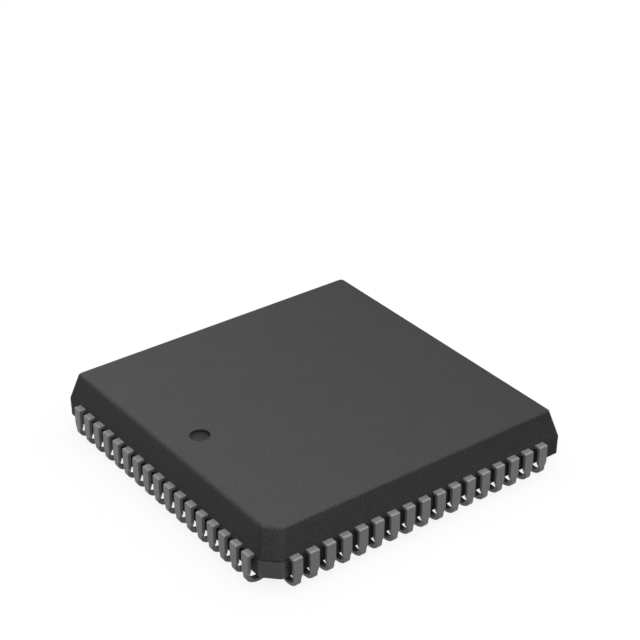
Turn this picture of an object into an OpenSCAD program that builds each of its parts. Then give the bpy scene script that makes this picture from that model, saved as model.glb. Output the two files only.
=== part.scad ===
// Plastic leaded chip carrier: 17 J-leads on each of four sides.
// Millimetres, +Z up. z = 0 is the seating plane under the curled feet, x = y = 0 is the package centre.
// The bevelled index corner points to -X -Y, and lead 1 is the middle lead of the -X side.

/* [Leads] */
// Number of leads on each side
leads_per_side = 17; // [11:2:21]
// Distance between neighbouring leads
pitch = 1.27; // [1.2:0.01:1.4]
// Distance that the leads stand out from the parting line of the body
lead_reach = 0.47; // [0.4:0.01:0.6]
// Thickness of the sheet that the leads, fingers and paddle are stamped from
sheet = 0.25; // [0.2:0.01:0.32]
// Height of the top of the leads above the seating plane
lead_top = 2.36; // [2.2:0.01:2.8]
// Width of a lead from the body down to its taper
shoulder_width = 0.72; // [0.6:0.01:0.9]
// Width of the curled foot
foot_width = 0.42; // [0.33:0.01:0.6]
// Height of the taper from shoulder width to foot width
taper_height = 0.36; // [0.2:0.01:0.6]
// Straight leg between the taper and the curl
ankle_height = 0.09; // [0.05:0.01:0.3]
// Outer radius of the sharp fold at the shoulder
shoulder_radius = 0.1; // [0.05:0.01:0.2]
// Outer radius of the tight first part of the curl
bend_radius = 0.5; // [0.4:0.01:0.8]
// Angle of the tight first part of the curl
bend_angle = 55; // [40:1:70]
// Outer radius of the rest of the curl
foot_radius = 1.2; // [1:0.01:1.3]
// Clearance between the end of the curl and the underside of the body
curl_clearance = 0.08; // [0.02:0.01:0.3]

/* [Moulded body] */
// Distance from the middle of the last lead of a row to the side of the body
end_margin = 1.91; // [1.7:0.01:2.2]
// Height of the top face above the seating plane
overall_height = 4.25; // [3.8:0.01:5]
// Height of the underside above the seating plane
standoff = 0.91; // [0.7:0.01:1.2]
// Distance that the top face is set in from the parting line by the draft of the upper half
top_inset = 0.57; // [0.1:0.01:0.8]
// Distance that the underside is set in by the draft of the lower half
underside_inset = 0.02; // [0:0.01:0.2]
// Leg of the bevel on the index corner
index_bevel = 1.07; // [0.6:0.01:1.3]
// Leg of the bevel on the other three corners
corner_bevel = 0.15; // [0.05:0.01:0.5]
// Diameter of the round dimple beside lead 1
dimple_diameter = 1.35; // [0.8:0.05:2]
// Depth of the dimple
dimple_depth = 0.2; // [0.1:0.01:0.4]
// Distance of the middle of the dimple from the edge of the top face
dimple_inset = 2.5; // [1.5:0.1:3.5]

/* [Die and paddle] */
// Width of the square die
die_width = 7.6; // [6:0.1:9]
// Thickness of the die
die_thickness = 0.38; // [0.25:0.01:0.6]
// Thickness of the die-attach layer
attach_thickness = 0.03; // [0.02:0.01:0.06]
// Width that the die-attach layer shows around the die
attach_margin = 0.1; // [0.05:0.05:0.3]
// Width that the paddle shows around the die
paddle_margin = 1.4; // [0.8:0.1:2]
// Drop of the paddle below the fingers
paddle_drop = 0.2; // [0.1:0.01:0.4]
// Width of a tie bar
tie_width = 0.4; // [0.2:0.01:0.6]
// Flat length of a tie bar between the corner of the paddle and its step
tie_flat = 0.4; // [0.2:0.1:1]
// Length of the step in a tie bar
tie_step = 0.4; // [0.2:0.1:1]
// Cover of moulding compound over the end of a tie bar, at the index corner
tie_cover = 1.1; // [0.5:0.1:2]

/* [Lead fingers] */
// Gap between the paddle and the fingertips
finger_gap = 0.55; // [0.3:0.05:0.8]
// Width of a fingertip
tip_width = 0.36; // [0.25:0.01:0.45]
// Distance of the last fingertip of a row from the diagonal, along the row
tip_corner = 0.79; // [0.6:0.01:1.2]
// Depth inside the body at which the fingers start to fan in
fan_depth = 0.77; // [0.5:0.01:1.2]

/* [Bond wires] */
// Distance of the wire pads from the edge of the die
pad_inset = 0.2; // [0.15:0.01:0.4]
// Distance of the last pad of a row from the side of the die
pad_corner = 0.44; // [0.4:0.01:1]
// Width and height of a wire
wire_size = 0.03; // [0.02:0.005:0.05]
// Straight rise of a wire from its pad
wire_rise = 0.08; // [0.06:0.01:0.15]
// Distance over which a wire turns outward, and then runs level
wire_shoulder = 0.2; // [0.1:0.01:0.4]
// Height of the wire loops above the die
loop_height = 0.16; // [0.12:0.01:0.4]
// Distance of the end of a wire from the fingertip
wire_landing = 0.25; // [0.15:0.01:0.5]
// Length of the flat end of a wire
wire_foot = 0.2; // [0.1:0.01:0.3]

/* [Hidden] */
$fn = 64;

// Turn of each row about +Z, from the row on the -Y side
TURN_10 = 0;
TURN_27 = 90;
TURN_44 = 180;
TURN_61 = 270;
TURNS = [TURN_10, TURN_27, TURN_44, TURN_61];

COPPER = "#b87a4b";
TIN = "#a9a9a7";
EPOXY = "#47474a";
SILICON = "#6f7683";
SILVER_EPOXY = "#c9c9c4";
GOLD = "#d8b24a";

// Distances of the rows and of the body's sides from the package centre
gaps = leads_per_side - 1;
side = gaps * pitch / 2 + end_margin;
outer = side + lead_reach;
parting = lead_top - sheet / 2;
lead_under = lead_top - sheet;

// The curl is two tangent arcs: its lowest point is the seating plane, and it ends clear of the underside
bend_centre_z = foot_radius - (foot_radius - bend_radius) * sin(bend_angle);
bend_centre_out = outer - bend_radius;
foot_centre_out = bend_centre_out - (foot_radius - bend_radius) * cos(bend_angle);
curl_top = standoff - curl_clearance;
curl_angle = 180 - asin((foot_radius - curl_top) / (foot_radius - sheet));
taper_end = bend_centre_z + ankle_height;
taper_start = taper_end + taper_height;

// Stack inside the body
paddle_width = die_width + 2 * paddle_margin;
paddle_top = lead_top - paddle_drop;
paddle_under = paddle_top - sheet;
die_under = paddle_top + attach_thickness;
die_top = die_under + die_thickness;
tie_end = (2 * side - index_bevel) / sqrt(2) - tie_cover;

// Fingers fan in from the lead pitch to the pitch of their tips, and wires from there to the pads
tip_distance = paddle_width / 2 + finger_gap;
tip_pitch = 2 * (tip_distance - tip_corner) / gaps;
fan_distance = side - fan_depth;
land_distance = tip_distance + wire_landing;
pad_distance = die_width / 2 - pad_inset;
pad_pitch = (die_width - 2 * pad_corner) / gaps;

// Place of the k-th of a row of leads, fingertips or pads along the row
function place(k, step) = (k - gaps / 2) * step;

// Square outline with a bevel at each corner, the index corner first, counter-clockwise
function outline(half, z) = [
    [-half + index_bevel, -half, z], [half - corner_bevel, -half, z],
    [half, -half + corner_bevel, z], [half, half - corner_bevel, z],
    [half - corner_bevel, half, z], [-half + corner_bevel, half, z],
    [-half, half - corner_bevel, z], [-half, -half + index_bevel, z],
];

// Both sides of a strip of a given thickness along a path, with mitred corners
function along(path, i) = (path[i + 1] - path[i]) / norm(path[i + 1] - path[i]);
function across(v) = [-v[1], v[0]];
function mitre(path, i, last) =
    i == 0 ? across(along(path, 0)) :
    i == last ? across(along(path, last - 1)) :
    let (a = across(along(path, i - 1)), b = across(along(path, i)))
    (a + b) / (1 + a * b);
function strip(path, thickness) =
    let (last = len(path) - 1)
    concat(
        [for (i = [0 : last]) path[i] + mitre(path, i, last) * thickness / 2],
        [for (i = [last : -1 : 0]) path[i] - mitre(path, i, last) * thickness / 2]
    );

// Profile (outward is -Y, up is +Z) drawn out to a width across the row
module across_row(width) {
    translate([-width / 2, 0, 0]) rotate([90, 0, 90]) linear_extrude(width) children();
}

// Outline (along the row and up) drawn out to a thickness towards -Y
module upright(thickness) {
    rotate([90, 0, 0]) linear_extrude(thickness) children();
}

// Part of a flat ring between two angles, counted from straight outward and down
module ring_part(radius, from, to) {
    reach = 2 * radius;
    intersection() {
        difference() {
            circle(radius);
            circle(radius - sheet);
        }
        polygon(concat([[0, 0]], [for (i = [0 : 3]) let (a = from + (to - from) * i / 3)
            reach * [-cos(a), -sin(a)]]));
    }
}

// Flat strip of lead k from its fingertip to the fold at the shoulder
module finger(k) {
    lead = place(k, pitch);
    tip = place(k, tip_pitch);
    fold = outer - shoulder_radius;
    translate([0, 0, lead_under]) linear_extrude(sheet) polygon([
        [tip - tip_width / 2, -tip_distance], [tip + tip_width / 2, -tip_distance],
        [lead + shoulder_width / 2, -fan_distance], [lead + shoulder_width / 2, -fold],
        [lead - shoulder_width / 2, -fold], [lead - shoulder_width / 2, -fan_distance],
    ]);
}

// Rounded outer corner of the fold at the shoulder
module fold_corner() {
    across_row(shoulder_width)
        translate([shoulder_radius - outer, lead_top - shoulder_radius]) intersection() {
            circle(shoulder_radius);
            translate([-2 * shoulder_radius, 0]) square(2 * shoulder_radius);
        }
}

// Upright part of a lead, with the taper from shoulder width to foot width
module leg() {
    shoulder = shoulder_width / 2;
    foot = foot_width / 2;
    head = lead_top - shoulder_radius;
    translate([0, sheet - outer, 0]) upright(sheet) polygon([
        [-shoulder, head], [-shoulder, taper_start], [-foot, taper_end], [-foot, bend_centre_z],
        [foot, bend_centre_z], [foot, taper_end], [shoulder, taper_start], [shoulder, head],
    ]);
}

// Curled end of a lead
module foot() {
    across_row(foot_width) {
        translate([-bend_centre_out, bend_centre_z]) ring_part(bend_radius, 0, bend_angle);
        translate([-foot_centre_out, foot_radius]) ring_part(foot_radius, bend_angle, curl_angle);
    }
}

module lead(k) {
    finger(k);
    translate([place(k, pitch), 0, 0]) {
        fold_corner();
        leg();
        foot();
    }
}

// Wire k from its pad on the die to its fingertip, in the upright plane through both
module wire(k) {
    pad = [place(k, pad_pitch), -pad_distance];
    share = wire_landing / (fan_distance - tip_distance);
    tip = place(k, tip_pitch);
    land = [tip + share * (place(k, pitch) - tip), -land_distance];
    way = land - pad;
    run = norm(way);
    top = die_top + loop_height;
    rest = lead_top + wire_size / 2;
    path = [
        [0, die_top], [0, die_top + wire_rise], [wire_shoulder, top], [2 * wire_shoulder, top],
        [run - wire_foot, rest], [run, rest],
    ];
    translate([pad[0], pad[1], 0]) rotate([0, 0, atan2(way[1], way[0])])
        translate([0, wire_size / 2, 0]) upright(wire_size) polygon(strip(path, wire_size));
}

module lead_row(turn) {
    color(TIN) rotate([0, 0, turn]) for (k = [0 : gaps]) lead(k);
}

module wire_row(turn) {
    color(GOLD) rotate([0, 0, turn]) for (k = [0 : gaps]) wire(k);
}

// Tie bar towards +X, stepping up from the corner of the paddle to the level of the fingers
module tie_bar() {
    step_in = paddle_width / sqrt(2) + tie_flat;
    step_out = step_in + tie_step;
    translate([0, tie_width / 2, 0]) upright(tie_width) polygon([
        [paddle_width / 2, paddle_top], [step_in, paddle_top], [step_out, lead_top], [tie_end, lead_top],
        [tie_end, lead_under], [step_out, lead_under], [step_in, paddle_under],
        [paddle_width / 2, paddle_under],
    ]);
}

// Square plate centred on the package, from a given height up
module plate(width, z, thickness) {
    translate([-width / 2, -width / 2, z]) cube([width, width, thickness]);
}

module die_paddle() {
    color(COPPER) {
        plate(paddle_width, paddle_under, sheet);
        for (turn = TURNS) rotate([0, 0, turn + 45]) tie_bar();
    }
}

module die_attach() {
    color(SILVER_EPOXY) plate(die_width + 2 * attach_margin, paddle_top, attach_thickness);
}

module die() {
    color(SILICON) plate(die_width, die_under, die_thickness);
}

// Outside of the moulding: underside, parting line and top, joined by drafted faces
module moulding() {
    points = concat(
        outline(side - underside_inset, standoff),
        outline(side, parting),
        outline(side - top_inset, overall_height)
    );
    corners = len(points) / 3;
    polyhedron(points, concat(
        [[for (i = [0 : corners - 1]) i]],
        [for (level = [0, corners], i = [0 : corners - 1]) let (j = (i + 1) % corners)
            [level + i, level + corners + i, level + corners + j, level + j]],
        [[for (i = [corners - 1 : -1 : 0]) 2 * corners + i]]
    ));
}

// Moulded body, with the room that the embedded pieces take up
module body() {
    color(EPOXY) difference() {
        moulding();
        translate([dimple_inset + top_inset - side, 0, overall_height - dimple_depth])
            cylinder(d = dimple_diameter, h = 2 * dimple_depth);
        for (turn = TURNS, k = [0 : gaps]) rotate([0, 0, turn]) {
            finger(k);
            wire(k);
        }
        die_paddle();
        die_attach();
        die();
    }
}

body();
lead_row(TURN_10);  // leads_10_to_26
lead_row(TURN_27);  // leads_27_to_43
lead_row(TURN_44);  // leads_44_to_60
lead_row(TURN_61);  // leads_61_to_9
wire_row(TURN_10);  // wires_10_to_26
wire_row(TURN_27);  // wires_27_to_43
wire_row(TURN_44);  // wires_44_to_60
wire_row(TURN_61);  // wires_61_to_9
die_paddle();
die_attach();
die();
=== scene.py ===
import math

import bpy
import numpy as np
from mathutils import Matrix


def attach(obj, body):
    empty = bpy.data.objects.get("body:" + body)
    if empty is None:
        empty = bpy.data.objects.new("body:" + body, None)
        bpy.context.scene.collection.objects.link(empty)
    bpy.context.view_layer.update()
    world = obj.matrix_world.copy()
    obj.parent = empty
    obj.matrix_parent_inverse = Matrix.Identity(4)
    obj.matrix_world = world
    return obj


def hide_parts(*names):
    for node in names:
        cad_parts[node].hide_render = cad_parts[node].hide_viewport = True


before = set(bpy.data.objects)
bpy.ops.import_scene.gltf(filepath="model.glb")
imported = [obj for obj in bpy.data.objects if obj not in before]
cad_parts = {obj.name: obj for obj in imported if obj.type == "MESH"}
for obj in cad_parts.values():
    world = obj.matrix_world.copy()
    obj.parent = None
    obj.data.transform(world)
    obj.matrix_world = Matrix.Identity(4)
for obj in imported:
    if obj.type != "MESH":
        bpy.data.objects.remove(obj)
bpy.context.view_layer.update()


# Die paddle: the square of copper alloy that carries the die, with a tie bar to each corner of the frame.
# It is stamped from the same rolled sheet as the leads, and its face keeps the marks of the rolls.

MM = 0.001
GRAIN_LOW, GRAIN_HIGH = 0.3, 0.7


def add_node(tree, kind, place, **values):
    """A shader node of a kind at a place in the node editor, with its inputs set by name."""
    node = tree.nodes.new(kind)
    node.location = place
    for name, value in values.items():
        node.inputs[name.replace("_", " ")].default_value = value
    return node


def grain_group():
    """Fine grain: two sizes of noise on the given coordinates, one of grains and one of soft clouds.

    Both go from 0 to 1 and lie mostly between GRAIN_LOW and GRAIN_HIGH. Clouds is the slow one, for colour that
    drifts over a surface.
    """
    group = bpy.data.node_groups.new("surface_grain", "ShaderNodeTree")
    socket = group.interface.new_socket
    socket("Vector", in_out="INPUT", socket_type="NodeSocketVector")
    for name, default in (("Grains per metre", 9000.0), ("Clouds per metre", 500.0)):
        socket(name, in_out="INPUT", socket_type="NodeSocketFloat").default_value = default
    socket("Grain", in_out="OUTPUT", socket_type="NodeSocketFloat")
    socket("Clouds", in_out="OUTPUT", socket_type="NodeSocketFloat")
    source = add_node(group, "NodeGroupInput", (-400, 0))
    result = add_node(group, "NodeGroupOutput", (300, 0))
    grain = add_node(group, "ShaderNodeTexNoise", (-100, 150), Detail=3.0, Roughness=0.6)
    clouds = add_node(group, "ShaderNodeTexNoise", (-100, -150), Detail=2.0, Roughness=0.5)
    for noise, scale, out in ((grain, "Grains per metre", "Grain"), (clouds, "Clouds per metre", "Clouds")):
        group.links.new(source.outputs["Vector"], noise.inputs["Vector"])
        group.links.new(source.outputs[scale], noise.inputs["Scale"])
        group.links.new(noise.outputs["Fac"], result.inputs[out])
    return group


SURFACE_GRAIN = grain_group()


def grained_material(name, grains, clouds, shades, roughness, bump, cloudy=0.5, stretch=(1.0, 1.0, 1.0)):
    """Material whose colour and roughness follow the grain: grain and clouds mix two shades, grain moves the gloss.

    grains and clouds are counted per metre, cloudy is the clouds' share in the colour, bump is the height of
    the grain in metres, and stretch multiplies the coordinates along each axis. Returns the material and
    its Principled BSDF.
    """
    material = bpy.data.materials.new(name)
    material.use_nodes = True
    tree = material.node_tree
    shader = tree.nodes["Principled BSDF"]
    coordinates = add_node(tree, "ShaderNodeTexCoord", (-1100, 0))
    mapping = add_node(tree, "ShaderNodeMapping", (-900, 0), Scale=stretch)
    grain = add_node(tree, "ShaderNodeGroup", (-700, 0))
    grain.node_tree = SURFACE_GRAIN
    grain.inputs["Grains per metre"].default_value = grains
    grain.inputs["Clouds per metre"].default_value = clouds
    colour = add_node(tree, "ShaderNodeValToRGB", (-450, 200))
    colour.color_ramp.elements[0].position = GRAIN_LOW
    colour.color_ramp.elements[0].color = (*shades[0], 1.0)
    colour.color_ramp.elements[1].position = GRAIN_HIGH
    colour.color_ramp.elements[1].color = (*shades[1], 1.0)
    blend = add_node(tree, "ShaderNodeMath", (-560, 60))
    blend.operation = "MULTIPLY_ADD"
    blend.inputs[1].default_value = 1.0 - cloudy
    part = add_node(tree, "ShaderNodeMath", (-560, -60))
    part.operation = "MULTIPLY"
    part.inputs[1].default_value = cloudy
    gloss = add_node(tree, "ShaderNodeMapRange", (-450, -120), To_Min=roughness[0], To_Max=roughness[1])
    gloss.inputs["From Min"].default_value = GRAIN_LOW
    gloss.inputs["From Max"].default_value = GRAIN_HIGH
    relief = add_node(tree, "ShaderNodeBump", (-250, -300), Strength=1.0, Distance=bump)
    link = tree.links.new
    link(coordinates.outputs["Object"], mapping.inputs["Vector"])
    link(mapping.outputs["Vector"], grain.inputs["Vector"])
    link(grain.outputs["Clouds"], part.inputs[0])
    link(grain.outputs["Grain"], blend.inputs[0])
    link(part.outputs["Value"], blend.inputs[2])
    link(blend.outputs["Value"], colour.inputs["Fac"])
    link(colour.outputs["Color"], shader.inputs["Base Color"])
    link(grain.outputs["Grain"], gloss.inputs["Value"])
    link(gloss.outputs["Result"], shader.inputs["Roughness"])
    link(grain.outputs["Grain"], relief.inputs["Height"])
    link(relief.outputs["Normal"], shader.inputs["Normal"])
    return material, shader


def dress(node, material):
    """Gives a CAD node that stays in view its finished material."""
    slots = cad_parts[node].data.materials
    slots.clear()
    slots.append(material)


rolled_copper, shader = grained_material(
    "rolled_copper", 6000, 600, ((0.42, 0.19, 0.10), (0.58, 0.28, 0.16)), (0.28, 0.45), 1e-6,
    stretch=(0.08, 1.0, 1.0))
shader.inputs["Metallic"].default_value = 1.0
dress("die_paddle", rolled_copper)


# Die attach: a thin bed of epoxy filled with silver flakes, dispensed on the paddle and cured under the die.
# The flakes give it a coarse, sparkling grain.

silver_epoxy, shader = grained_material(
    "silver_epoxy", 14000, 900, ((0.36, 0.36, 0.34), (0.62, 0.62, 0.59)), (0.35, 0.6), 3e-6)
shader.inputs["Metallic"].default_value = 0.5
dress("die_attach", silver_epoxy)


# Die: a square of polished silicon, sawn from a wafer, with its circuit under a thin glass layer.
# The circuit gives its face fine streaks of slightly different grey.

silicon, shader = grained_material(
    "silicon", 5000, 800, ((0.10, 0.12, 0.16), (0.17, 0.19, 0.23)), (0.12, 0.24), 2e-7,
    stretch=(1.0, 0.35, 1.0))
shader.inputs["Coat Weight"].default_value = 0.6
dress("die", silicon)


# Bond wires: drawn gold wire, welded from each pad of the die to its finger.
# Drawing leaves the wire bright, with faint lines.

drawn_gold, shader = grained_material(
    "drawn_gold", 20000, 2000, ((0.66, 0.44, 0.12), (0.78, 0.56, 0.20)), (0.18, 0.32), 5e-7)
shader.inputs["Metallic"].default_value = 1.0
for row in ("10_to_26", "27_to_43", "44_to_60", "61_to_9"):
    dress("wires_" + row, drawn_gold)


# Leads: seventeen strips on each side, stamped from copper alloy sheet and plated with dull tin.
# Each comes out of the parting line, folds down sharply, narrows in an S and curls in under the body.
# Stamping leaves their long edges slightly rounded, and the folding tool rubs the tin smoother on the fold, where
# its colour is also lifted as a painted highlight.

LEADS = 17
PITCH = 1.27
SHEET = 0.25
LEAD_TOP = 2.36
LEAD_OUTER = 12.54
SHOULDER_WIDTH, FOOT_WIDTH, TIP_WIDTH = 0.72, 0.42, 0.36
FINGERTIP, FAN_START, TIP_PITCH = 5.75, 11.3, 0.62
WALL_STATIONS, LEG_STATIONS = (11.9, 12.15), (1.9, 1.5)
FOLD_RADIUS, FOLD_INSIDE = 0.1, 0.06
BEND_RADIUS, BEND_ANGLE = 0.5, math.radians(55)
FOOT_RADIUS, CURL_ANGLE = 1.2, math.radians(157.1)
TAPER_TOP, TAPER_END = 1.12, 0.67
EDGE_RADIUS = 0.035


def sheet_lines():
    """Outer and inner line of a lead in its upright plane, as (distance out, height), with the width there.

    Flat finger, quarter circle over the fold, straight leg, then two arcs that share a tangent. The inner
    line is one sheet further in. The width goes from shoulder to foot as a smooth step, 3t^2 - 2t^3.
    Also returns how far the lead has fanned out at each station, from 0 at the fingertip to 1 at its pitch,
    and how much the fold is rubbed and given a painted highlight there: the cosine of the turn, 1 where the fold
    begins and 0 on the leg.
    """
    bend_z = FOOT_RADIUS - (FOOT_RADIUS - BEND_RADIUS) * math.sin(BEND_ANGLE)
    bend_out = LEAD_OUTER - BEND_RADIUS
    foot_out = bend_out - (FOOT_RADIUS - BEND_RADIUS) * math.cos(BEND_ANGLE)
    under, inside = LEAD_TOP - SHEET, LEAD_OUTER - SHEET

    finger = np.array([FINGERTIP, FAN_START, *WALL_STATIONS])
    turn = np.linspace(0.0, math.pi / 2, 8)
    leg = np.concatenate([LEG_STATIONS, np.linspace(TAPER_TOP, TAPER_END, 11)])
    bend = np.linspace(0.0, BEND_ANGLE, 9)
    end_trim = EDGE_RADIUS / FOOT_RADIUS
    foot = np.append(np.linspace(BEND_ANGLE, CURL_ANGLE - end_trim, 18)[1:], CURL_ANGLE)

    def arc(out, height, radius, angle):
        return np.stack([out + radius * np.cos(angle), height - radius * np.sin(angle)], 1)

    def fold(out, height, radius):
        return np.stack([out + radius * np.sin(turn), height + radius * np.cos(turn)], 1)

    def level(height):
        return np.stack([finger, np.full_like(finger, height)], 1)

    def upright(out):
        return np.stack([np.full_like(leg, out), leg], 1)

    outer = np.concatenate([
        level(LEAD_TOP), fold(LEAD_OUTER - FOLD_RADIUS, LEAD_TOP - FOLD_RADIUS, FOLD_RADIUS),
        upright(LEAD_OUTER), arc(bend_out, bend_z, BEND_RADIUS, bend),
        arc(foot_out, FOOT_RADIUS, FOOT_RADIUS, foot)])
    inner = np.concatenate([
        level(under), fold(inside - FOLD_INSIDE, under - FOLD_INSIDE, FOLD_INSIDE),
        upright(inside), arc(bend_out, bend_z, BEND_RADIUS - SHEET, bend),
        arc(foot_out, FOOT_RADIUS, FOOT_RADIUS - SHEET, foot)])
    step = np.clip((TAPER_TOP - outer[:, 1]) / (TAPER_TOP - TAPER_END), 0.0, 1.0)
    step[len(finger) + len(turn) + len(leg):] = 1.0
    width = SHOULDER_WIDTH + (FOOT_WIDTH - SHOULDER_WIDTH) * (3 * step ** 2 - 2 * step ** 3)
    width[0] = TIP_WIDTH
    fan = np.clip((outer[:, 0] - FINGERTIP) / (FAN_START - FINGERTIP), 0.0, 1.0)
    fan[len(finger):] = 1.0
    rub_and_highlight = np.zeros(len(outer))
    rub_and_highlight[len(finger):len(finger) + len(turn)] = np.cos(turn)
    return outer, inner, width, fan, rub_and_highlight


def lead_row(turn):
    """All the leads of a row: a rectangle with rounded edges, carried along the lines of the sheet.

    A point of the section is a place across the width and a place through the thickness. Thickness runs
    from the inner line to the outer one, and the middle of the width moves from tip pitch to lead pitch.
    The row is then turned about the vertical axis of the package. Returns points, faces and the fold's rub and
    painted highlight at each point.
    """
    outer, inner, width, fan, rub_and_highlight = sheet_lines()
    thick = np.linalg.norm(outer - inner, axis=1)
    through = (outer - inner) / thick[:, None]
    corner = np.linspace(0.0, math.pi / 2, 4)
    angle = np.concatenate([corner + k * math.pi / 2 for k in range(4)])
    side_x = np.repeat([1, -1, -1, 1], len(corner))
    side_n = np.repeat([1, 1, -1, -1], len(corner))
    trim = np.zeros(len(width))
    trim[-1] = EDGE_RADIUS
    half = width / 2 - trim
    depth = thick / 2 - trim
    radius = np.minimum(EDGE_RADIUS, depth / 2)
    across = side_x * (half - radius)[:, None] + radius[:, None] * np.cos(angle)
    inward = side_n * (depth - radius)[:, None] + radius[:, None] * np.sin(angle)
    plane = (inner + outer)[:, None, :] / 2 + inward[:, :, None] * through[:, None, :]
    number = np.arange(LEADS) - (LEADS - 1) / 2
    middle = number[:, None] * (TIP_PITCH + (PITCH - TIP_PITCH) * fan)
    x = middle[:, :, None] + across[None]
    y = np.broadcast_to(-plane[None, :, :, 0], x.shape)
    z = np.broadcast_to(plane[None, :, :, 1], x.shape)
    c, s = round(math.cos(turn)), round(math.sin(turn))
    points = np.stack([c * x - s * y, s * x + c * y, z], -1) * MM

    stations, sides = across.shape
    index = np.arange(LEADS * stations * sides).reshape(LEADS, stations, sides)
    after = np.roll(index, -1, axis=2)
    quads = np.stack([index[:, :-1], after[:, :-1], after[:, 1:], index[:, 1:]], -1).reshape(-1, 4)
    tip_ends = index[:, 0, ::-1]
    curl_ends = index[:, -1, :]
    rubbed_and_highlit = np.broadcast_to(rub_and_highlight[None, :, None], index.shape).ravel()
    return points.reshape(-1, 3), quads.tolist() + tip_ends.tolist() + curl_ends.tolist(), rubbed_and_highlit


def add_piece(name, points, faces):
    """A smooth-shaded mesh piece from an array of points and a list of faces.

    The normal at a point is the sum of the normals of its faces, each times its area, so that flat faces
    stay flat and only the small faces of the rounded edges turn.
    """
    mesh = bpy.data.meshes.new(name)
    mesh.from_pydata(points, [], faces)
    mesh.update()
    count = len(mesh.polygons)
    normal, area, sides = np.empty(3 * count), np.empty(count), np.empty(count, int)
    mesh.polygons.foreach_get("normal", normal)
    mesh.polygons.foreach_get("area", area)
    mesh.polygons.foreach_get("loop_total", sides)
    corner = np.empty(len(mesh.loops), int)
    mesh.loops.foreach_get("vertex_index", corner)
    total = np.zeros((len(points), 3))
    np.add.at(total, corner, np.repeat(normal.reshape(-1, 3) * area[:, None], sides, axis=0))
    mesh.polygons.foreach_set("use_smooth", np.ones(count, bool))
    mesh.normals_split_custom_set_from_vertices(total / np.linalg.norm(total, axis=1, keepdims=True))
    piece = bpy.data.objects.new(name, mesh)
    bpy.context.scene.collection.objects.link(piece)
    return piece


def add_layer(piece, name, values):
    """A value at each point of a piece, for its material to read by name."""
    layer = piece.data.attributes.new(name, "FLOAT", "POINT")
    layer.data.foreach_set("value", values.astype(np.float32))


def follow(material, shader, layer, socket, low, high):
    """Multiplies what feeds a socket by a factor: low where the layer is 0, high where it is 1, even between."""
    tree = material.node_tree
    level = len(tree.nodes) * 60
    source = add_node(tree, "ShaderNodeAttribute", (-450, 400 + level))
    source.attribute_name = layer
    factor = add_node(tree, "ShaderNodeMapRange", (-250, 400 + level), To_Min=low, To_Max=high)
    factor.clamp = False
    colour = socket == "Base Color"
    times = add_node(tree, "ShaderNodeVectorMath" if colour else "ShaderNodeMath", (-80, 400 + level))
    times.operation = "SCALE" if colour else "MULTIPLY"
    link = tree.links.new
    link(source.outputs["Fac"], factor.inputs["Value"])
    link(shader.inputs[socket].links[0].from_socket, times.inputs[0])
    link(factor.outputs["Result"], times.inputs["Scale"] if colour else times.inputs[1])
    link(times.outputs["Vector" if colour else "Value"], shader.inputs[socket])


dull_tin, shader = grained_material(
    "dull_tin", 16000, 1500, ((0.222, 0.222, 0.222), (0.282, 0.282, 0.279)), (0.26, 0.36), 1.5e-6)
# The fold's colour is lifted by up to 18% as a painted highlight. Its lower roughness there is the rubbed tin.
follow(dull_tin, shader, "fold_rub_and_painted_highlight", "Base Color", 1.0, 1.18)
follow(dull_tin, shader, "fold_rub_and_painted_highlight", "Roughness", 1.0, 0.75)
shader.inputs["Metallic"].default_value = 0.12
shader.inputs["Specular IOR Level"].default_value = 0.25

for number, row in enumerate(("10_to_26", "27_to_43", "44_to_60", "61_to_9")):
    points, faces, rubbed_and_highlit = lead_row(number * math.pi / 2)
    piece = add_piece("tinned_leads_" + row, points, faces)
    add_layer(piece, "fold_rub_and_painted_highlight", rubbed_and_highlit)
    piece.data.materials.append(dull_tin)
    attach(piece, "root")
    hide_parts("leads_" + row)


# Body: epoxy moulding compound, black with a fine silica filler, pressed around the frame in a two-part mould.
# The upper half has a steep draft, the lower half hardly any, and the edges have small radii, larger at -X.
# The spark-eroded mould gives every face the same very fine matt grain. A dimple marks lead 1.

SIDE, TOP_HALF, UNDER_HALF = 12.07, 11.53, 12.05
UNDER_Z, PARTING_Z, TOP_Z = 0.88, 2.235, 4.25
INDEX_BEVEL, BEVEL_ROUND, CORNER_ROUND = 1.07, 0.14, 0.26
TOP_ROUND, UNDER_ROUND = 0.18, 0.045
SOFT_HALF, SOFT_ROUND = 11.47, 0.34
SOFT_START, SOFT_BLEND = 11.47, 0.48
SOFT_END, SOFT_FADE = 12.0, 3.0
PARTING_DEPTH, PARTING_HEIGHT, PARTING_RING = 0.012, 0.02, 0.07
UNDER_RINGS, TOP_RINGS = (0.02, 0.5, 0.98), (0.02, 0.25, 0.5, 0.75, 0.97)
SIDE_STEPS, BEVEL_STEPS = 72, 14
DIMPLE_X, DIMPLE_RADIUS, DIMPLE_DEPTH = -9.0, 0.7, 0.25
DIMPLE_RIM, DIMPLE_FILLET, DIMPLE_DRAFT, DIMPLE_MIDDLE = 0.02, 0.1, 0.01, 0.05
# Painted light and shade in the body's colour: the top's fall across X, the bevel's lift and rise, the parting
# line's shade at the gate, and a shade line and a highlight line on the bevel's edges.
TOP_PAINTED_LIGHT_FALL, TOP_FADE = 0.2, 0.4
GATE_SKIN, GATE_REACH, GATE_FADE = 0.75, 1.6, 0.8
LINE_PAINTED_SHADE, LINE_HEIGHT = 0.6, 0.03
BEVEL_PAINTED_LIFT, BEVEL_PAINTED_RISE, BEVEL_REACH, BEVEL_FADE = 0.1, 0.12, 0.8, 0.1
PAINTED_SHADE_EDGE, PAINTED_HIGHLIGHT_EDGE = (0.30, -0.757, 0.1), (0.16, 0.66, 0.06)


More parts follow.
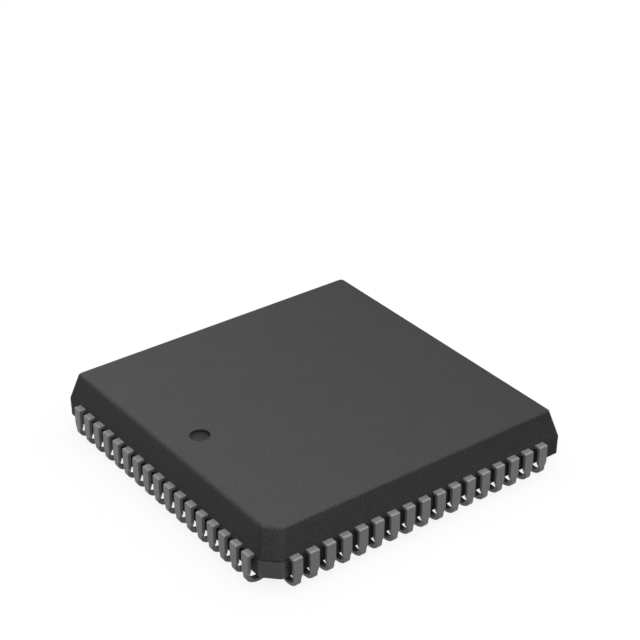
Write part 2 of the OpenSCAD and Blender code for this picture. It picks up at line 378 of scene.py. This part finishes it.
def bevelled_outline(half):
    """Closed outline of a square with one bevelled corner, each corner turned over a small arc.

    An arc of radius r that touches two lines has its middle at r from both. Straight stretches between
    the arcs are divided evenly, so the same place in the list is the same place on outlines of any size.
    """
    r = BEVEL_ROUND
    near = half - r
    reach = half - INDEX_BEVEL + r * math.tan(math.pi / 8)
    far = half - CORNER_ROUND
    arcs = (
        (-reach, -near, r, 225, 270), (far, -far, CORNER_ROUND, 270, 360),
        (far, far, CORNER_ROUND, 0, 90), (-far, far, CORNER_ROUND, 90, 180),
        (-near, -reach, r, 180, 225))
    corners = []
    for x, y, radius, start, end in arcs:
        a = np.radians(np.linspace(start, end, 9))
        corners.append(np.stack([x + radius * np.cos(a), y + radius * np.sin(a)], 1))
    stretches = []
    for k, corner in enumerate(corners):
        following = corners[(k + 1) % len(corners)][0]
        count = BEVEL_STEPS if k == len(corners) - 1 else SIDE_STEPS
        share = np.linspace(0.0, 1.0, count + 1)[1:-1, None]
        stretches += [corner, corner[-1] + share * (following - corner[-1])]
    return np.concatenate(stretches)


def rounded_corner(before, corner, after, radius, count=8):
    """Points of the arc that replaces a corner of a profile: it touches both lines at r times tan(turn / 2)."""
    before, corner, after = (np.array(p, float) for p in (before, corner, after))
    a = (before - corner) / np.linalg.norm(before - corner)
    b = (after - corner) / np.linalg.norm(after - corner)
    opening = math.acos(float(a @ b))
    middle = corner + (a + b) / np.linalg.norm(a + b) * radius / math.sin(opening / 2)
    start = corner + a * radius / math.tan(opening / 2) - middle
    finish = corner + b * radius / math.tan(opening / 2) - middle
    share = np.linspace(0.0, 1.0, count)[:, None]
    sweep = math.pi - opening
    return middle + (np.sin((1 - share) * sweep) * start + np.sin(share * sweep) * finish) / math.sin(sweep)


def moulded_body():
    """Closed skin of the body: outlines stacked along a profile from the middle of the underside to the dimple.

    Between the edges an outline is a fixed list plus its half width times another list. Along the -X side the
    profile goes over to one with a larger radius at the top. On the underside the outline shrinks to the middle.
    On the top it goes over in even steps to the dimple's rim, a circle whose points lie in the same direction
    from the dimple as the outline's, and from there down the dimple to its middle.
    """
    fixed = bevelled_outline(0.0)
    growing = bevelled_outline(1.0) - fixed

    def walls(top_half, top_round):
        under, parting, top = (UNDER_HALF, UNDER_Z), (SIDE, PARTING_Z), (top_half, TOP_Z)
        lower = PARTING_Z - np.array([PARTING_RING, PARTING_HEIGHT])
        upper = PARTING_Z + np.array([PARTING_HEIGHT, PARTING_RING])
        profile = np.concatenate([
            rounded_corner((0.0, UNDER_Z), under, parting, UNDER_ROUND),
            np.stack([np.interp(lower, [UNDER_Z, PARTING_Z], [UNDER_HALF, SIDE]), lower], 1),
            [(SIDE - PARTING_DEPTH, PARTING_Z)],
            np.stack([np.interp(upper, [PARTING_Z, TOP_Z], [SIDE, top_half]), upper], 1),
            rounded_corner(parting, top, (0.0, TOP_Z), top_round, 10)])
        flat = fixed + profile[:, :1, None] * growing
        return np.concatenate([flat, np.broadcast_to(profile[:, 1:, None], (*flat.shape[:2], 1))], -1)

    x, y = (fixed + SIDE * growing).T
    soft = np.clip((-x - SOFT_START) / SOFT_BLEND, 0.0, 1.0) * np.clip((SOFT_END - y) / SOFT_FADE, 0.0, 1.0)
    soft = soft[:, None]
    skin = (1.0 - soft) * walls(TOP_HALF, TOP_ROUND) + soft * walls(SOFT_HALF, SOFT_ROUND)

    inward = np.array(UNDER_RINGS)[:, None, None]
    floor_rings = np.broadcast_to(skin[0], (3, *skin[0].shape)) * [1, 1, 0] * inward + [0, 0, UNDER_Z]
    edge = skin[-1, :, :2]
    middle = np.array([DIMPLE_X, 0.0])
    away = edge - middle
    direction = away / np.linalg.norm(away, axis=1, keepdims=True)
    dimple = np.concatenate([
        rounded_corner((DIMPLE_RADIUS + 1, TOP_Z), (DIMPLE_RADIUS, TOP_Z),
                       (DIMPLE_RADIUS - DIMPLE_DRAFT, TOP_Z - DIMPLE_DEPTH), DIMPLE_RIM, 5),
        rounded_corner((DIMPLE_RADIUS, TOP_Z), (DIMPLE_RADIUS - DIMPLE_DRAFT, TOP_Z - DIMPLE_DEPTH),
                       (0.0, TOP_Z - DIMPLE_DEPTH), DIMPLE_FILLET, 6),
        [(DIMPLE_MIDDLE, TOP_Z - DIMPLE_DEPTH)]])
    rings = middle + dimple[:, :1, None] * direction
    rings = np.concatenate([rings, np.broadcast_to(dimple[:, 1:, None], (*rings.shape[:2], 1))], -1)
    step = np.array(TOP_RINGS)[:, None, None]
    face = skin[-1] + step * (rings[0] - skin[-1])
    grid = np.concatenate([floor_rings, skin, face, rings])

    rows, columns = grid.shape[:2]
    points = np.concatenate([grid.reshape(-1, 3), [[0, 0, UNDER_Z], [DIMPLE_X, 0, TOP_Z - DIMPLE_DEPTH]]]) * MM
    index = np.arange(rows * columns).reshape(rows, columns)
    after = np.roll(index, -1, axis=1)
    quads = np.stack([index[:-1], after[:-1], after[1:], index[1:]], -1).reshape(-1, 4)
    under_fan = np.stack([after[0], index[0], np.full(columns, rows * columns)], -1)
    dimple_fan = np.stack([index[-1], after[-1], np.full(columns, rows * columns + 1)], -1)
    return points, quads.tolist() + under_fan.tolist() + dimple_fan.tolist()


def skin_finish(points):
    """Painted light and shade, pin polish with painted shade, and gate skin at each point of the body, all from its
    place.

    The painted light falls evenly across the top, from the -X side to the +X side, as painted shading. It rises
    evenly along the bevel as a painted lift of light, and is low in the parting line at the gate as painted shade.
    One edge of the bevel is a painted shade line and the other a painted highlight line, each a bell curve,
    exp(-t^2), in the distance along the bevel. Pin polish is 1 inside the dimple, where it also paints shade. Gate
    skin covers the lower half of the bevel and fades out beside it as a smooth step, 3t^2 - 2t^3.
    """
    x, y, z = (points / MM).T
    pin = (np.hypot(x - DIMPLE_X, y) < DIMPLE_RADIUS - 0.005) & (z > PARTING_Z)
    along = (x - y) / math.sqrt(2)
    corner = (x + y < -20.0) & (z > UNDER_Z + 0.005) & (z < TOP_Z - 0.1)
    beside = np.clip((GATE_REACH - np.abs(along)) / GATE_FADE, 0.0, 1.0) * corner
    gate = GATE_SKIN * beside ** 2 * (3 - 2 * beside) * (z < PARTING_Z - 0.01)
    # Painted shade in the parting line beside the gate.
    line = LINE_PAINTED_SHADE * (beside > 0.5) * (np.abs(z - PARTING_Z) < LINE_HEIGHT)
    # Painted light: the bevel's colour is lifted, and more so towards one end.
    painted_bevel_lift = np.clip((BEVEL_REACH - np.abs(along)) / BEVEL_FADE, 0.0, 1.0) * corner

    # A painted shade line on one edge of the bevel and a painted highlight line on the other.
    def edge_line(strength, place, width):
        return strength * np.exp(-((along - place) / width) ** 2)

    edge = (edge_line(*PAINTED_SHADE_EDGE) - edge_line(*PAINTED_HIGHLIGHT_EDGE)) * corner * (z > PARTING_Z)
    # Painted light: the top is lighter towards -X and darker towards +X.
    top = np.clip((z - TOP_Z) / TOP_FADE + 1.0, 0.0, 1.0)
    painted_light_fall = 1.0 - TOP_PAINTED_LIGHT_FALL * top * x / SIDE
    painted_light_and_shade = painted_light_fall * (1.0 - line) * (1.0 - edge) * (1.0 + painted_bevel_lift * (BEVEL_PAINTED_LIFT + BEVEL_PAINTED_RISE * along))
    return painted_light_and_shade, pin, gate


moulding_compound, shader = grained_material(
    "moulding_compound", 8000, 450, ((0.041, 0.041, 0.041), (0.073, 0.073, 0.072)), (0.55, 0.66), 5e-6,
    cloudy=0.1)
shader.inputs["Specular IOR Level"].default_value = 0.06
shader.inputs["Coat Roughness"].default_value = 0.3
points, faces = moulded_body()
body = add_piece("moulded_body", points, faces)
for name, values in zip(("painted_light_and_shade", "pin_polish_and_painted_shade", "gate_skin"), skin_finish(points)):
    add_layer(body, name, values)
# This layer paints light and shade into the body's base colour.
follow(moulding_compound, shader, "painted_light_and_shade", "Base Color", 0.0, 1.0)
# The dimple's colour is darkened to 0.55 as painted shade in the recess. Its lower roughness is the pin's polish.
follow(moulding_compound, shader, "pin_polish_and_painted_shade", "Base Color", 1.0, 0.55)
follow(moulding_compound, shader, "pin_polish_and_painted_shade", "Roughness", 1.0, 0.6)
tree = moulding_compound.node_tree
skin = add_node(tree, "ShaderNodeAttribute", (-250, -550))
skin.attribute_name = "gate_skin"
tree.links.new(skin.outputs["Fac"], shader.inputs["Coat Weight"])
body.data.materials.append(moulding_compound)
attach(body, "root")
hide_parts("body")


# Floor: a plain pale table. The camera and reflections see it nearly white, with a soft part of the chip's
# shadow left in. It throws little of the light back up, so that the chip stays dark underneath.

FLOOR_REACH = 2.0
PAINT_LIT, PAINT_SEEN, WHITE_SHARE = 0.14, 0.95, 0.88


def seen_rays(tree):
    """Output that is 1 for rays from the camera, from gloss and through glass, and 0 for the light that falls."""
    rays = add_node(tree, "ShaderNodeLightPath", (-900, 300))
    gloss = add_node(tree, "ShaderNodeMath", (-700, 300))
    gloss.operation = "MAXIMUM"
    glass = add_node(tree, "ShaderNodeMath", (-500, 300))
    glass.operation = "MAXIMUM"
    tree.links.new(rays.outputs["Is Camera Ray"], gloss.inputs[0])
    tree.links.new(rays.outputs["Is Glossy Ray"], gloss.inputs[1])
    tree.links.new(gloss.outputs["Value"], glass.inputs[0])
    tree.links.new(rays.outputs["Is Transmission Ray"], glass.inputs[1])
    return glass.outputs["Value"]


square = np.array([[-1, -1, 0], [1, -1, 0], [1, 1, 0], [-1, 1, 0]]) * FLOOR_REACH
floor_mesh = bpy.data.meshes.new("table")
floor_mesh.from_pydata(square, [], [[0, 1, 2, 3]])
table = bpy.data.objects.new("table", floor_mesh)
bpy.context.scene.collection.objects.link(table)
pale = bpy.data.materials.new("pale_table")
pale.use_nodes = True
tree = pale.node_tree
tree.nodes.clear()
output = add_node(tree, "ShaderNodeOutputMaterial", (600, 0))
mix = add_node(tree, "ShaderNodeMixShader", (400, 0))
matt = add_node(tree, "ShaderNodeBsdfDiffuse", (150, -100))
paint = add_node(tree, "ShaderNodeMapRange", (-50, -100), To_Min=PAINT_LIT, To_Max=PAINT_SEEN)
glow = add_node(tree, "ShaderNodeEmission", (150, 100), Strength=1.0)
share = add_node(tree, "ShaderNodeMath", (100, 250))
share.operation = "MULTIPLY"
share.inputs[1].default_value = WHITE_SHARE
seen = seen_rays(tree)
link = tree.links.new
link(seen, share.inputs[0])
link(seen, paint.inputs["Value"])
link(paint.outputs["Result"], matt.inputs["Color"])
link(share.outputs["Value"], mix.inputs["Fac"])
link(matt.outputs["BSDF"], mix.inputs[1])
link(glow.outputs["Emission"], mix.inputs[2])
link(mix.outputs["Shader"], output.inputs["Surface"])
floor_mesh.materials.append(pale)


# Light: a wide soft lamp overhead, a little to the right as the camera sees it, aimed at the chip's middle.
# The room looks white to the camera and to reflections, and gives only a little light of its own.

ROOM_LIGHT = 0.13
LAMP_PLACE, LAMP_SIZE, LAMP_POWER = (0.04, -0.02, 0.40), 0.9, 3.4

room = bpy.data.worlds.new("room")
bpy.context.scene.world = room
room.use_nodes = True
tree = room.node_tree
walls = add_node(tree, "ShaderNodeMapRange", (-200, 0), To_Min=ROOM_LIGHT, To_Max=1.0)
tree.links.new(seen_rays(tree), walls.inputs["Value"])
tree.links.new(walls.outputs["Result"], tree.nodes["Background"].inputs["Color"])

lamp = bpy.data.lights.new("soft_overhead", "AREA")
lamp.shape = "DISK"
lamp.size = LAMP_SIZE
lamp.energy = LAMP_POWER
holder = bpy.data.objects.new("soft_overhead", lamp)
holder.location = LAMP_PLACE
aim = -holder.location
holder.rotation_euler = aim.to_track_quat("-Z", "Y").to_euler()
bpy.context.scene.collection.objects.link(holder)


# Camera: where the photograph was taken from, looking down past the front corner.

lens = bpy.data.cameras.new("camera")
lens.sensor_width = 36.0
lens.lens = 99.86
lens.clip_start = 0.005
camera = bpy.data.objects.new("camera", lens)
camera.location = (-0.060927, -0.082527, 0.068922)
camera.rotation_euler = (math.radians(60.071), math.radians(-0.043), math.radians(-36.787))
bpy.context.scene.collection.objects.link(camera)
bpy.context.scene.camera = camera
bpy.context.scene.view_settings.view_transform = "Standard"
